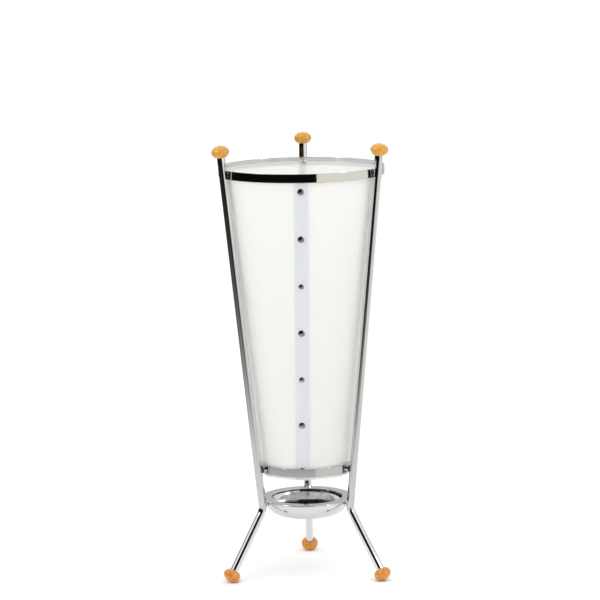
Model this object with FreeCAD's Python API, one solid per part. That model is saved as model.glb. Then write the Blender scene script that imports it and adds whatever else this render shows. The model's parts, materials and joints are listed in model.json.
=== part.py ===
# Umbrella stand: three bent tube legs with turned wooden knobs, two bands, a rolled cone of
# frosted sheet closed by a row of rivets, and a drip dish that lifts out.
# Millimetres, +Z up. The origin is on the floor, on the stand's axis. The rear leg is at +Y and
# the seam of the sheet faces -Y.
import FreeCAD
import Part
import math
import os

V = FreeCAD.Vector
AXIS_Z = V(0, 0, 1)
RADIAL = V(1, 0, 0)

# Bands
TOP_RING_RADIUS = 124.5
TOP_RING_EDGE_Z = 623.0
BOTTOM_RING_RADIUS = 73.0
BOTTOM_RING_EDGE_Z = 174.0
RING_HEIGHT = 13.0
RING_THICKNESS = 2.0
RING_EDGE_ROUND = 0.4

# Legs
LEG_AZIMUTHS = {"rear": 90.0, "left": 210.0, "right": 330.0}
TUBE_RADIUS = 6.0
TUBE_WALL = 1.5
BEND_BELOW_DISH = 12.5
BEND_RADIUS = 22.0
FOOT_REACH = 131.0
TOP_KNOB_RISE = 28.3
SPOTFACE_DEPTH = 0.2
SPOTFACE_CLEARANCE = 0.5

# Turned wooden knobs and what holds them on the tube ends
KNOB_RADIUS = 13.0
KNOB_THICKNESS = 19.5
KNOB_EDGE_SHARE = 0.84
KNOB_WOOD_PAST_TUBE = 8.0
FOOT_FLAT_DEPTH = 0.35
PLUG_LENGTH = 12.0
BOLT_RADIUS = 2.5
BOLT_PLUG_LENGTH = 9.0
BOLT_WOOD_LENGTH = 5.5
BOLT_TIP_LENGTH = 1.5
BOLT_TIP_RADIUS = 1.0
PILOT_CLEARANCE = 0.5
PRESS_FIT = 0.05

# Frosted sheet
SHEET_THICKNESS = 1.0
SHEET_TOP_DROP = 6.0
SHEET_BOTTOM_STAND = 5.0
SHEET_TOP_CLEARANCE = 0.25
SHEET_BOTTOM_GAP = 2.4
SEAM_TOP_AZIMUTH = -89.1
SEAM_BOTTOM_AZIMUTH = -94.0
LAP_WIDTH = 20.5
LAP_GAP = 0.15
JOG_START = 1.0
JOG_ANGLE = 8.0

# Seam rivets
RIVET_TOP_DROP = 20.5
RIVET_BOTTOM_RISE = 14.5
RIVET_COUNT = 7
SMALL_RIVETS = (2, 4)
LARGE_HEAD_RADIUS = 5.0
SMALL_HEAD_RADIUS = 4.1
RIVET_HEAD_HEIGHT = 1.6
RIVET_SHANK_RADIUS = 2.0
RIVET_TAIL_RADIUS = 3.0
RIVET_TAIL_HEIGHT = 1.0
RIVET_WASHER_RADIUS = 4.0
RIVET_WASHER_THICKNESS = 0.6
RIVET_WASHER_STANDOFF = 0.2
RIVET_FIT = 0.1
RIVET_SEAT_GAP = 0.08

# Screws, thread inserts, bushes and spacers
SCREW_RADIUS = 2.0
SCREW_HEAD_RADIUS = 3.8
SCREW_HEAD_HEIGHT = 2.2
SCREW_HEAD_RIM = 0.7
SCREW_HEAD_TOP_RADIUS = 1.9
SCREW_HEAD_BULGE = 0.35
SOCKET_ACROSS_FLATS = 2.5
SOCKET_DEPTH = 1.3
SCREW_END_GAP = 1.3
SCREW_FIT = 0.05
RING_HOLE_CLEARANCE = 0.2
HEAD_TO_SHEET = 0.1
INSERT_FLANGE_RADIUS = 4.5
INSERT_FLANGE_THICKNESS = 1.0
INSERT_BARREL_RADIUS = 3.0
INSERT_END_GAP = 2.1
SPACER_RADIUS = 5.75
SPACER_LENGTH = 3.0
BUSH_RADIUS = 2.8
BUSH_FLANGE_RADIUS = 5.0
BUSH_TO_SHEET = 0.2

# Drip dish and the pins that carry it
DISH_TO_LEG = 1.85
DISH_BELOW_SHEET = 39.0
DISH_THICKNESS = 1.0
DISH_HEIGHT = 26.6
DISH_WALL_TOP_DROP = 0.6
DISH_EDGE_RADIUS = 1.5
HEM_RETURN = 1.0
LIP_WIDTH = 16.0
LIP_COLLAR = 3.5
PIN_RADIUS = 2.5
PIN_CHAMFER = 0.4
PIN_END_GAP = 2.0
PIN_TO_DISH = 0.65
DISH_REST_GAP = 0.3

# Worked out from the values above
TOP_SCREW_Z = TOP_RING_EDGE_Z - RING_HEIGHT / 2
BOTTOM_SCREW_Z = BOTTOM_RING_EDGE_Z - RING_HEIGHT / 2
TOP_RING_INNER = TOP_RING_RADIUS - RING_THICKNESS
BOTTOM_RING_INNER = BOTTOM_RING_RADIUS - RING_THICKNESS
TOP_SEAT = TOP_RING_RADIUS + INSERT_FLANGE_THICKNESS
BOTTOM_SEAT = BOTTOM_RING_RADIUS + SPACER_LENGTH + INSERT_FLANGE_THICKNESS
TUBE_BORE_RADIUS = TUBE_RADIUS - TUBE_WALL
LEG_SLOPE = (TOP_SEAT - BOTTOM_SEAT) / (TOP_SCREW_Z - BOTTOM_SCREW_Z)
TUBE_HALF_SPAN = TUBE_RADIUS * math.hypot(1.0, LEG_SLOPE)
SHEET_TOP_Z = TOP_RING_EDGE_Z - SHEET_TOP_DROP
SHEET_BOTTOM_Z = BOTTOM_RING_EDGE_Z - RING_HEIGHT - SHEET_BOTTOM_STAND
SHEET_TOP_RADIUS = TOP_RING_INNER - SHEET_TOP_CLEARANCE
SHEET_SLOPE = (SHEET_TOP_RADIUS - (BOTTOM_RING_INNER - SHEET_BOTTOM_GAP)) / (SHEET_TOP_Z - BOTTOM_SCREW_Z)
SHEET_SPAN = SHEET_THICKNESS * math.hypot(1.0, SHEET_SLOPE)
RIVET_TOP_Z = SHEET_TOP_Z - RIVET_TOP_DROP
RIVET_PITCH = (RIVET_TOP_Z - SHEET_BOTTOM_Z - RIVET_BOTTOM_RISE) / (RIVET_COUNT - 1)
INSERT_BARREL_LENGTH = 2 * TUBE_RADIUS - TUBE_WALL - INSERT_END_GAP
TOP_KNOB_Z = TOP_RING_EDGE_Z + TOP_KNOB_RISE
KNOB_HALF = KNOB_THICKNESS / 2
KNOB_EDGE_ROUND = KNOB_EDGE_SHARE * KNOB_HALF
KNOB_EDGE_CENTRE = KNOB_RADIUS - KNOB_EDGE_ROUND
KNOB_SPREAD = KNOB_HALF ** 2 + KNOB_EDGE_CENTRE ** 2 - KNOB_EDGE_ROUND ** 2
KNOB_CROWN = KNOB_SPREAD / (2 * (KNOB_HALF - KNOB_EDGE_ROUND))
KNOB_CROWN_CENTRE = KNOB_CROWN - KNOB_HALF
KNOB_CROWN_ANGLE = math.atan2(KNOB_EDGE_CENTRE, KNOB_CROWN_CENTRE)
KNOB_BORE_RADIUS = TUBE_RADIUS + PRESS_FIT
TUBE_END_PAST_CENTRE = KNOB_HALF - KNOB_WOOD_PAST_TUBE
DISH_RIM_Z = SHEET_BOTTOM_Z - DISH_BELOW_SHEET
BEND_Z = DISH_RIM_Z - BEND_BELOW_DISH
DISH_WALL_RADIUS = DISH_HEIGHT - DISH_WALL_TOP_DROP
HEM_RADIUS = 1.5 * DISH_THICKNESS
HEM_Z = DISH_RIM_Z - HEM_RADIUS
DISH_BOTTOM_Z = DISH_RIM_Z - DISH_HEIGHT
PIN_Z = HEM_Z - HEM_RADIUS - DISH_REST_GAP - PIN_RADIUS


# ---------------------------------------------------------------- helpers

def radial_cylinder(radius, inner, outer, z):
    """Cylinder that lies along the radius at azimuth 0, between two distances from the axis."""
    return Part.makeCylinder(radius, outer - inner, V(inner, 0, z), RADIAL)


def turned(shape, azimuth):
    """Copy of a shape turned about the stand's axis."""
    copy = shape.copy()
    copy.rotate(V(0, 0, 0), AXIS_Z, azimuth)
    return copy


def at_each_leg(shape):
    """The same piece at all three legs, as separate solids."""
    return Part.makeCompound([turned(shape, azimuth) for azimuth in LEG_AZIMUTHS.values()])


def upright(radius, low, high):
    """Cylinder on the stand's axis."""
    return Part.makeCylinder(radius, high - low, V(0, 0, low), AXIS_Z)


def revolved(edges, axis):
    """Solid of revolution of a closed outline about an axis through the origin."""
    return Part.Face(Part.Wire(edges)).revolve(V(0, 0, 0), axis, 360)


def line(start, end):
    return Part.LineSegment(start, end).toShape()


def arc(start, middle, end):
    return Part.Arc(start, middle, end).toShape()


def export(name, shape):
    shape.exportStep("parts/" + name + ".step")


# ---------------------------------------------------------------- legs

def leg_radius(z):
    """Distance from the stand's axis to the centre of a leg's upper run at height z."""
    return BOTTOM_SEAT - SPOTFACE_DEPTH + TUBE_HALF_SPAN + LEG_SLOPE * (z - BOTTOM_SCREW_Z)


def sheet_radius(z):
    """Radius of the sheet's outer face at height z."""
    return SHEET_TOP_RADIUS - SHEET_SLOPE * (SHEET_TOP_Z - z)


def bend_corner():
    return V(leg_radius(BEND_Z), 0, BEND_Z)


def upper_direction():
    """Unit vector up the upper run."""
    return V(LEG_SLOPE, 0, 1).normalize()


def foot_centre():
    """Centre of a foot knob: the knob is flattened by its foot flat and stands on the floor."""
    centre = V(FOOT_REACH, 0, KNOB_HALF)
    for _ in range(8):
        run = (centre - bend_corner()).normalize()
        support = KNOB_CROWN + KNOB_CROWN_CENTRE * run.z
        centre = V(FOOT_REACH, 0, support - FOOT_FLAT_DEPTH)
    return centre


def lower_direction():
    """Unit vector down the lower run, from the bend to the foot."""
    return (foot_centre() - bend_corner()).normalize()


def top_centre():
    return V(leg_radius(TOP_KNOB_Z), 0, TOP_KNOB_Z)


def leg_path():
    """Centreline of a leg, from the end inside the top knob to the end inside the foot knob."""
    corner = bend_corner()
    up = upper_direction()
    down = lower_direction()
    half_turn = (math.pi - up.getAngle(down)) / 2
    tangent = BEND_RADIUS * math.tan(half_turn)
    inward = (up + down).normalize()
    start = corner + up * tangent
    end = corner + down * tangent
    middle = corner + inward * (BEND_RADIUS / math.cos(half_turn) - BEND_RADIUS)
    top_end = top_centre() + up * TUBE_END_PAST_CENTRE
    foot_end = foot_centre() + down * TUBE_END_PAST_CENTRE
    return Part.Wire([line(top_end, start), arc(start, middle, end), line(end, foot_end)])


def swept(path, radius):
    """Round bar along a leg's centreline."""
    start = path.OrderedVertexes[0].Point
    profile = Part.Wire(Part.Circle(start, upper_direction(), radius).toShape())
    return path.makePipeShell([profile], True, True)


def spotface(seat, z):
    """Flat pocket that an insert's flange sits in."""
    radius = INSERT_FLANGE_RADIUS + SPOTFACE_CLEARANCE
    return radial_cylinder(radius, seat - TUBE_WALL, seat, z)


def leg():
    path = leg_path()
    tube = swept(path, TUBE_RADIUS).cut(swept(path, TUBE_BORE_RADIUS))
    insert_hole = INSERT_BARREL_RADIUS + PRESS_FIT
    for seat, z in ((TOP_SEAT, TOP_SCREW_Z), (BOTTOM_SEAT, BOTTOM_SCREW_Z)):
        tube = tube.cut(spotface(seat, z))
        tube = tube.cut(radial_cylinder(insert_hole, seat - TUBE_WALL, leg_radius(z), z))
    pin_hole_start = leg_radius(PIN_Z) - 2 * TUBE_RADIUS
    return tube.cut(radial_cylinder(PIN_RADIUS + PRESS_FIT, pin_hole_start, leg_radius(PIN_Z), PIN_Z))


# ---------------------------------------------------------------- knobs

def crown_point(angle, side):
    """Point on a knob's crown at an angle from its axis; side is 1 at the far end, -1 at the tube."""
    height = side * (KNOB_CROWN * math.cos(angle) - KNOB_CROWN_CENTRE)
    return V(KNOB_CROWN * math.sin(angle), height, 0)


def knob(centre, outward):
    """Oblate turned ball on a tube end, bored for the tube; outward points away from the tube."""
    mouth_angle = math.asin(KNOB_BORE_RADIUS / KNOB_CROWN)
    mouth_middle = (mouth_angle + KNOB_CROWN_ANGLE) / 2
    bore_end = TUBE_END_PAST_CENTRE
    pilot_end = bore_end + BOLT_WOOD_LENGTH + PILOT_CLEARANCE
    pilot_radius = BOLT_RADIUS + PRESS_FIT
    far_edge = crown_point(KNOB_CROWN_ANGLE, 1)
    near_edge = crown_point(KNOB_CROWN_ANGLE, -1)
    mouth = crown_point(mouth_angle, -1)
    inside = [mouth, V(KNOB_BORE_RADIUS, bore_end, 0), V(pilot_radius, bore_end, 0),
              V(pilot_radius, pilot_end, 0), V(0, pilot_end, 0), V(0, KNOB_HALF, 0)]
    ball = revolved(Part.makePolygon(inside).Edges + [
        arc(V(0, KNOB_HALF, 0), crown_point(KNOB_CROWN_ANGLE / 2, 1), far_edge),
        arc(far_edge, V(KNOB_RADIUS, 0, 0), near_edge),
        arc(near_edge, crown_point(mouth_middle, -1), mouth)], V(0, 1, 0))
    ball.Placement = FreeCAD.Placement(centre, FreeCAD.Rotation(V(0, 1, 0), outward))
    return ball


def foot_knob():
    ball = knob(foot_centre(), lower_direction())
    below = Part.makeBox(4 * KNOB_RADIUS, 4 * KNOB_RADIUS, KNOB_RADIUS,
                         V(FOOT_REACH - 2 * KNOB_RADIUS, -2 * KNOB_RADIUS, -KNOB_RADIUS))
    return ball.cut(below)


def end_plug(centre, outward):
    """Slug inside the tube's end, tapped for the knob's bolt."""
    tube_end = centre + outward * TUBE_END_PAST_CENTRE
    inward = outward * -1
    slug = Part.makeCylinder(TUBE_BORE_RADIUS - PRESS_FIT, PLUG_LENGTH, tube_end, inward)
    tapping = Part.makeCylinder(BOLT_RADIUS + PRESS_FIT, PLUG_LENGTH, tube_end, inward)
    return slug.cut(tapping)


def knob_bolt(centre, outward):
    """Double-ended bolt: machine thread in the plug, pointed wood thread in the knob."""
    tube_end = centre + outward * TUBE_END_PAST_CENTRE
    shank_length = BOLT_PLUG_LENGTH + BOLT_WOOD_LENGTH - BOLT_TIP_LENGTH
    start = tube_end - outward * BOLT_PLUG_LENGTH
    shank = Part.makeCylinder(BOLT_RADIUS, shank_length, start, outward)
    tip_start = start + outward * shank_length
    tip = Part.makeCone(BOLT_RADIUS, BOLT_TIP_RADIUS, BOLT_TIP_LENGTH, tip_start, outward)
    return shank.fuse(tip)


# ---------------------------------------------------------------- bands and their fasteners

def band(radius, edge_z, screw_z):
    """Flat strip rolled into a ring, with softened edges and a hole at each leg."""
    low = edge_z - RING_HEIGHT
    ring = upright(radius, low, edge_z).cut(upright(radius - RING_THICKNESS, low, edge_z))
    rims = [edge for edge in ring.Edges if isinstance(edge.Curve, Part.Circle)]
    ring = ring.makeFillet(RING_EDGE_ROUND, rims)
    hole_radius = SCREW_RADIUS + RING_HOLE_CLEARANCE
    hole = radial_cylinder(hole_radius, radius - 2 * RING_THICKNESS, radius + RING_THICKNESS, screw_z)
    for azimuth in LEG_AZIMUTHS.values():
        ring = ring.cut(turned(hole, azimuth))
    return ring


def button_screw(z, leg_seat):
    """Button-head screw with a hexagon socket, from inside the sheet into a leg's insert."""
    seat = head_seat(z)
    end = leg_seat + INSERT_BARREL_LENGTH - SCREW_END_GAP
    top = seat - SCREW_HEAD_HEIGHT
    rim_corner = V(seat - SCREW_HEAD_RIM, SCREW_HEAD_RADIUS, 0)
    top_corner = V(top, SCREW_HEAD_TOP_RADIUS, 0)
    shoulder = (rim_corner + top_corner) / 2 + V(-1, 1, 0).normalize() * SCREW_HEAD_BULGE
    head = revolved([line(V(seat, 0, 0), V(seat, SCREW_HEAD_RADIUS, 0)),
                     line(V(seat, SCREW_HEAD_RADIUS, 0), rim_corner),
                     arc(rim_corner, shoulder, top_corner),
                     line(top_corner, V(top, 0, 0)),
                     line(V(top, 0, 0), V(seat, 0, 0))], RADIAL)
    head.translate(V(0, 0, z))
    screw = head.fuse(radial_cylinder(SCREW_RADIUS, seat, end, z))
    return screw.cut(hexagon_socket(top, z))


def hexagon_socket(start, z):
    """Hexagonal prism along the radius, for a key."""
    corner = SOCKET_ACROSS_FLATS / math.sqrt(3)
    points = [V(start, corner * math.cos(math.radians(60 * k)), z + corner * math.sin(math.radians(60 * k)))
              for k in range(7)]
    return Part.Face(Part.makePolygon(points)).extrude(RADIAL * SOCKET_DEPTH)


def thread_insert(seat, z):
    """Flanged threaded sleeve set in a leg's inner wall."""
    flange = radial_cylinder(INSERT_FLANGE_RADIUS, seat - INSERT_FLANGE_THICKNESS, seat, z)
    barrel = radial_cylinder(INSERT_BARREL_RADIUS, seat, seat + INSERT_BARREL_LENGTH, z)
    start = seat - INSERT_FLANGE_THICKNESS
    thread = radial_cylinder(SCREW_RADIUS + SCREW_FIT, start, seat + INSERT_BARREL_LENGTH, z)
    return flange.fuse(barrel).cut(thread)


def bottom_spacer():
    """Round distance piece with a hollowed face that fits the bottom band."""
    start = BOTTOM_RING_RADIUS - RING_THICKNESS
    end = BOTTOM_RING_RADIUS + SPACER_LENGTH
    body = radial_cylinder(SPACER_RADIUS, start, end, BOTTOM_SCREW_Z)
    body = body.cut(upright(BOTTOM_RING_RADIUS, BOTTOM_SCREW_Z - RING_HEIGHT, BOTTOM_SCREW_Z + RING_HEIGHT))
    return body.cut(radial_cylinder(SCREW_RADIUS + RING_HOLE_CLEARANCE, start, end, BOTTOM_SCREW_Z))


def head_seat(z):
    """Radius that a screw's head bears on: just inside the sheet at the head's lower edge."""
    return sheet_radius(z - SCREW_HEAD_RADIUS) - SHEET_SPAN - HEAD_TO_SHEET


def against_band(shape, ring_inner, z):
    """Trims a piece to the hollow inner face of a band."""
    return shape.common(upright(ring_inner, z - RING_HEIGHT, z + RING_HEIGHT))


def top_bush():
    """Plain bush in the notch of the sheet's top edge, between the screw's head and the band."""
    sleeve = radial_cylinder(BUSH_RADIUS, head_seat(TOP_SCREW_Z), TOP_RING_RADIUS, TOP_SCREW_Z)
    bore = radial_cylinder(SCREW_RADIUS + SCREW_FIT, head_seat(TOP_SCREW_Z), TOP_RING_RADIUS, TOP_SCREW_Z)
    return against_band(sleeve.cut(bore), TOP_RING_INNER, TOP_SCREW_Z)


def bottom_bush():
    """Stepped bush: its flange keeps the sheet off the band, its neck passes through the sheet."""
    face = sheet_radius(BOTTOM_SCREW_Z + BUSH_FLANGE_RADIUS) + BUSH_TO_SHEET
    neck = radial_cylinder(BUSH_RADIUS, head_seat(BOTTOM_SCREW_Z), face, BOTTOM_SCREW_Z)
    flange = radial_cylinder(BUSH_FLANGE_RADIUS, face, BOTTOM_RING_RADIUS, BOTTOM_SCREW_Z)
    bore = radial_cylinder(SCREW_RADIUS + SCREW_FIT, head_seat(BOTTOM_SCREW_Z), BOTTOM_RING_RADIUS,
                           BOTTOM_SCREW_Z)
    return against_band(neck.fuse(flange).cut(bore), BOTTOM_RING_INNER, BOTTOM_SCREW_Z)


# ---------------------------------------------------------------- sheet and rivets

def polar(radius, azimuth, z):
    angle = math.radians(azimuth)
    return V(radius * math.cos(angle), radius * math.sin(angle), z)


def polar_arc(radii, azimuths, z):
    """Arc from one polar point to another; its middle has the mean radius and azimuth."""
    middle = polar(sum(radii) / 2, sum(azimuths) / 2, z)
    return arc(polar(radii[0], azimuths[0], z), middle, polar(radii[1], azimuths[1], z))


def sheet_section(z, seam):
    """Outline of the rolled sheet at height z: its ends lap over each other at the seam."""
    outer = sheet_radius(z)
    inner = outer - SHEET_SPAN
    under_outer = inner - LAP_GAP
    under_inner = under_outer - SHEET_SPAN
    half_lap = math.degrees(math.asin(LAP_WIDTH / 2 / outer))
    lap_low = seam - half_lap
    lap_high = seam + half_lap
    jog_low = lap_high + JOG_START
    jog_high = jog_low + JOG_ANGLE
    back = seam + 180
    lap_low_round = lap_low + 360
    return Part.Wire([
        polar_arc((outer, outer), (lap_high, lap_low), z),
        polar_arc((outer, outer), (lap_low_round, back), z),
        polar_arc((outer, outer), (back, jog_high), z),
        polar_arc((outer, under_outer), (jog_high, jog_low), z),
        polar_arc((under_outer, under_outer), (jog_low, lap_low), z),
        line(polar(under_outer, lap_low, z), polar(under_inner, lap_low, z)),
        polar_arc((under_inner, under_inner), (lap_low, jog_low), z),
        polar_arc((under_inner, inner), (jog_low, jog_high), z),
        polar_arc((inner, inner), (jog_high, back), z),
        polar_arc((inner, inner), (back, lap_low_round), z),
        polar_arc((inner, inner), (lap_low, lap_high), z),
        line(polar(inner, lap_high, z), polar(outer, lap_high, z))])


def seam_point(z):
    """Point on the outer face at the middle of the lap, at height z."""
    low = polar(sheet_radius(SHEET_BOTTOM_Z), SEAM_BOTTOM_AZIMUTH, SHEET_BOTTOM_Z)
    high = polar(sheet_radius(SHEET_TOP_Z), SEAM_TOP_AZIMUTH, SHEET_TOP_Z)
    return low + (high - low) * ((z - SHEET_BOTTOM_Z) / (SHEET_TOP_Z - SHEET_BOTTOM_Z))


def seam_normal(z):
    """Outward normal of the sheet at the middle of the lap."""
    point = seam_point(z)
    return (V(point.x, point.y, 0).normalize() - AXIS_Z * SHEET_SLOPE).normalize()


def rivet_heights(small):
    """Heights of the small rivets, or of the large ones."""
    return [RIVET_TOP_Z - k * RIVET_PITCH for k in range(RIVET_COUNT) if (k in SMALL_RIVETS) == small]


def on_seam(shape, z):
    """Moves a piece made along +X at the origin onto the seam at height z."""
    copy = shape.copy()
    seat = seam_point(z) + seam_normal(z) * RIVET_SEAT_GAP
    copy.Placement = FreeCAD.Placement(seat, FreeCAD.Rotation(RADIAL, seam_normal(z)))
    return copy


def sheet():
    low = sheet_section(SHEET_BOTTOM_Z, SEAM_BOTTOM_AZIMUTH)
    high = sheet_section(SHEET_TOP_Z, SEAM_TOP_AZIMUTH)
    shell = Part.makeLoft([low, high], True, True)
    reach = 3 * SHEET_THICKNESS
    rivet_hole = Part.makeCylinder(RIVET_SHANK_RADIUS + RIVET_FIT, 2 * reach, RADIAL * -reach, RADIAL)
    for z in rivet_heights(True) + rivet_heights(False):
        shell = shell.cut(on_seam(rivet_hole, z))
    for z in (TOP_SCREW_Z, BOTTOM_SCREW_Z):
        hole = radial_cylinder(BUSH_RADIUS + RIVET_FIT, sheet_radius(z) - reach, sheet_radius(z) + reach, z)
        for azimuth in LEG_AZIMUTHS.values():
            shell = shell.cut(turned(hole, azimuth))
    return shell


def dome(radius, height):
    """Spherical cap on the plane x = 0, pointing along +X."""
    ball_radius = (radius ** 2 + height ** 2) / (2 * height)
    half_angle = math.asin(radius / ball_radius) / 2
    middle = V(height - ball_radius * (1 - math.cos(half_angle)), ball_radius * math.sin(half_angle), 0)
    return revolved([line(V(0, 0, 0), V(0, radius, 0)),
                     arc(V(0, radius, 0), middle, V(height, 0, 0)),
                     line(V(height, 0, 0), V(0, 0, 0))], RADIAL)


def lap_depth():
    """Depth through both layers of the lap to the face that a washer bears on."""
    return RIVET_SEAT_GAP + 2 * SHEET_THICKNESS + LAP_GAP + RIVET_WASHER_STANDOFF


def rivet(head_radius):
    """Domed rivet, drawn along +X with the sheet's outer face at the origin."""
    grip = lap_depth() + RIVET_WASHER_THICKNESS
    head = dome(head_radius, RIVET_HEAD_HEIGHT)
    shank = Part.makeCylinder(RIVET_SHANK_RADIUS, grip, RADIAL * -grip, RADIAL)
    tail = dome(RIVET_TAIL_RADIUS, RIVET_TAIL_HEIGHT)
    tail.rotate(V(0, 0, 0), AXIS_Z, 180)
    tail.translate(RADIAL * -grip)
    return head.fuse(shank).fuse(tail)


def rivet_washer():
    start = -lap_depth() - RIVET_WASHER_THICKNESS
    disc = Part.makeCylinder(RIVET_WASHER_RADIUS, RIVET_WASHER_THICKNESS, RADIAL * start, RADIAL)
    bore_radius = RIVET_SHANK_RADIUS + SCREW_FIT
    bore = Part.makeCylinder(bore_radius, RIVET_WASHER_THICKNESS, RADIAL * start, RADIAL)
    return disc.cut(bore)


def along_seam(shape, heights):
    return Part.makeCompound([on_seam(shape, z) for z in heights])


# ---------------------------------------------------------------- dish and pins

def leg_face(z):
    """Distance from the stand's axis to the near side of a leg's upper run at height z."""
    return leg_radius(z) - TUBE_HALF_SPAN


def dish_radius():
    """Outer radius of the dish's hem, which stands clear of the legs."""
    return leg_face(DISH_RIM_Z) - DISH_TO_LEG


def wall_reach():
    """Outer radius of the bowl's wall, inside the hem's return."""
    return dish_radius() - HEM_RADIUS - HEM_RETURN - DISH_EDGE_RADIUS


def wall_point(radius, z):
    """Point at height z on a quarter circle about the centre of the wall's curve."""
    centre_z = DISH_BOTTOM_Z + DISH_WALL_RADIUS
    reach = math.sqrt(radius ** 2 - (centre_z - z) ** 2)
    return V(wall_reach() - DISH_WALL_RADIUS + reach, 0, z)


def wall_arc(radius, low_z, high_z):
    middle_z = low_z + (high_z - low_z) / 4
    return arc(wall_point(radius, low_z), wall_point(radius, middle_z), wall_point(radius, high_z))


def dish_bowl():
    """Pressed bowl with a flat floor, a quarter-round wall and a narrow flange for the hem."""
    inner_radius = DISH_WALL_RADIUS - DISH_THICKNESS
    floor_z = DISH_BOTTOM_Z + DISH_THICKNESS
    flange_low = HEM_Z - DISH_THICKNESS / 2
    flange_high = HEM_Z + DISH_THICKNESS / 2
    flange_end = dish_radius() - HEM_RADIUS
    wall_end = wall_point(DISH_WALL_RADIUS, flange_low - DISH_EDGE_RADIUS)
    edge_centre = wall_end + RADIAL * DISH_EDGE_RADIUS
    slant = DISH_EDGE_RADIUS * math.sqrt(0.5)
    inner_top = wall_point(inner_radius, flange_high)
    return revolved([
        line(V(0, 0, DISH_BOTTOM_Z), wall_point(DISH_WALL_RADIUS, DISH_BOTTOM_Z)),
        wall_arc(DISH_WALL_RADIUS, DISH_BOTTOM_Z, wall_end.z),
        arc(wall_end, edge_centre + V(-slant, 0, slant), V(edge_centre.x, 0, flange_low)),
        line(V(edge_centre.x, 0, flange_low), V(flange_end, 0, flange_low)),
        line(V(flange_end, 0, flange_low), V(flange_end, 0, flange_high)),
        line(V(flange_end, 0, flange_high), inner_top),
        wall_arc(inner_radius, floor_z, flange_high),
        line(wall_point(inner_radius, floor_z), V(0, 0, floor_z)),
        line(V(0, 0, floor_z), V(0, 0, DISH_BOTTOM_Z))], AXIS_Z)


def dish_lip():
    """Flat ring hemmed round the bowl's flange, with a collar turned down at its mouth."""
    half = DISH_THICKNESS / 2
    hem_centre = dish_radius() - HEM_RADIUS
    low = HEM_Z - HEM_RADIUS
    under = HEM_Z - half
    over = HEM_Z + half
    mouth = dish_radius() - LIP_WIDTH
    collar = mouth + DISH_THICKNESS
    round_centre = mouth + DISH_EDGE_RADIUS
    slant = DISH_EDGE_RADIUS * math.sqrt(0.5)
    round_z = DISH_RIM_Z - DISH_EDGE_RADIUS
    round_middle = V(round_centre - slant, 0, round_z + slant)
    return revolved([
        line(V(hem_centre, 0, DISH_RIM_Z), V(round_centre, 0, DISH_RIM_Z)),
        arc(V(round_centre, 0, DISH_RIM_Z), round_middle, V(mouth, 0, round_z)),
        line(V(mouth, 0, round_z), V(mouth, 0, DISH_RIM_Z - LIP_COLLAR)),
        line(V(mouth, 0, DISH_RIM_Z - LIP_COLLAR), V(collar, 0, DISH_RIM_Z - LIP_COLLAR)),
        line(V(collar, 0, DISH_RIM_Z - LIP_COLLAR), V(collar, 0, over)),
        line(V(collar, 0, over), V(hem_centre, 0, over)),
        arc(V(hem_centre, 0, over), V(hem_centre + half, 0, HEM_Z), V(hem_centre, 0, under)),
        line(V(hem_centre, 0, under), V(hem_centre - HEM_RETURN, 0, under)),
        line(V(hem_centre - HEM_RETURN, 0, under), V(hem_centre - HEM_RETURN, 0, low)),
        line(V(hem_centre - HEM_RETURN, 0, low), V(hem_centre, 0, low)),
        arc(V(hem_centre, 0, low), V(hem_centre + HEM_RADIUS, 0, HEM_Z), V(hem_centre, 0, DISH_RIM_Z))],
        AXIS_Z)


def support_pin():
    """Pin set in a leg, under the dish's hem."""
    tip = wall_reach() + PIN_TO_DISH
    end = leg_radius(PIN_Z) + TUBE_BORE_RADIUS - PIN_END_GAP
    pin = radial_cylinder(PIN_RADIUS, tip, end, PIN_Z)
    tip_edge = [edge for edge in pin.Edges if edge.BoundBox.XMax < tip + PIN_CHAMFER]
    return pin.makeChamfer(PIN_CHAMFER, tip_edge)


# ---------------------------------------------------------------- all pieces

def main():
    os.makedirs("parts", exist_ok=True)
    up = upper_direction()
    down = lower_direction()
    for side, azimuth in LEG_AZIMUTHS.items():
        export(side + "_leg", turned(leg(), azimuth))
        export("top_knob_" + side, turned(knob(top_centre(), up), azimuth))
        export("foot_knob_" + side, turned(foot_knob(), azimuth))
    export("upper_end_plugs", at_each_leg(end_plug(top_centre(), up)))
    export("lower_end_plugs", at_each_leg(end_plug(foot_centre(), down)))
    export("upper_knob_bolts", at_each_leg(knob_bolt(top_centre(), up)))
    export("lower_knob_bolts", at_each_leg(knob_bolt(foot_centre(), down)))
    export("top_ring", band(TOP_RING_RADIUS, TOP_RING_EDGE_Z, TOP_SCREW_Z))
    export("bottom_ring", band(BOTTOM_RING_RADIUS, BOTTOM_RING_EDGE_Z, BOTTOM_SCREW_Z))
    export("top_ring_screws", at_each_leg(button_screw(TOP_SCREW_Z, TOP_SEAT)))
    export("bottom_ring_screws", at_each_leg(button_screw(BOTTOM_SCREW_Z, BOTTOM_SEAT)))
    export("top_thread_inserts", at_each_leg(thread_insert(TOP_SEAT, TOP_SCREW_Z)))
    export("bottom_thread_inserts", at_each_leg(thread_insert(BOTTOM_SEAT, BOTTOM_SCREW_Z)))
    export("bottom_ring_spacers", at_each_leg(bottom_spacer()))
    export("top_sheet_bushes", at_each_leg(top_bush()))
    export("bottom_sheet_bushes", at_each_leg(bottom_bush()))
    export("frosted_sheet", sheet())
    export("large_seam_rivets", along_seam(rivet(LARGE_HEAD_RADIUS), rivet_heights(False)))
    export("small_seam_rivets", along_seam(rivet(SMALL_HEAD_RADIUS), rivet_heights(True)))
    export("rivet_washers", along_seam(rivet_washer(), rivet_heights(True) + rivet_heights(False)))
    export("dish_bowl", dish_bowl())
    export("dish_lip", dish_lip())
    export("dish_support_pins", at_each_leg(support_pin()))


main()
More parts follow.
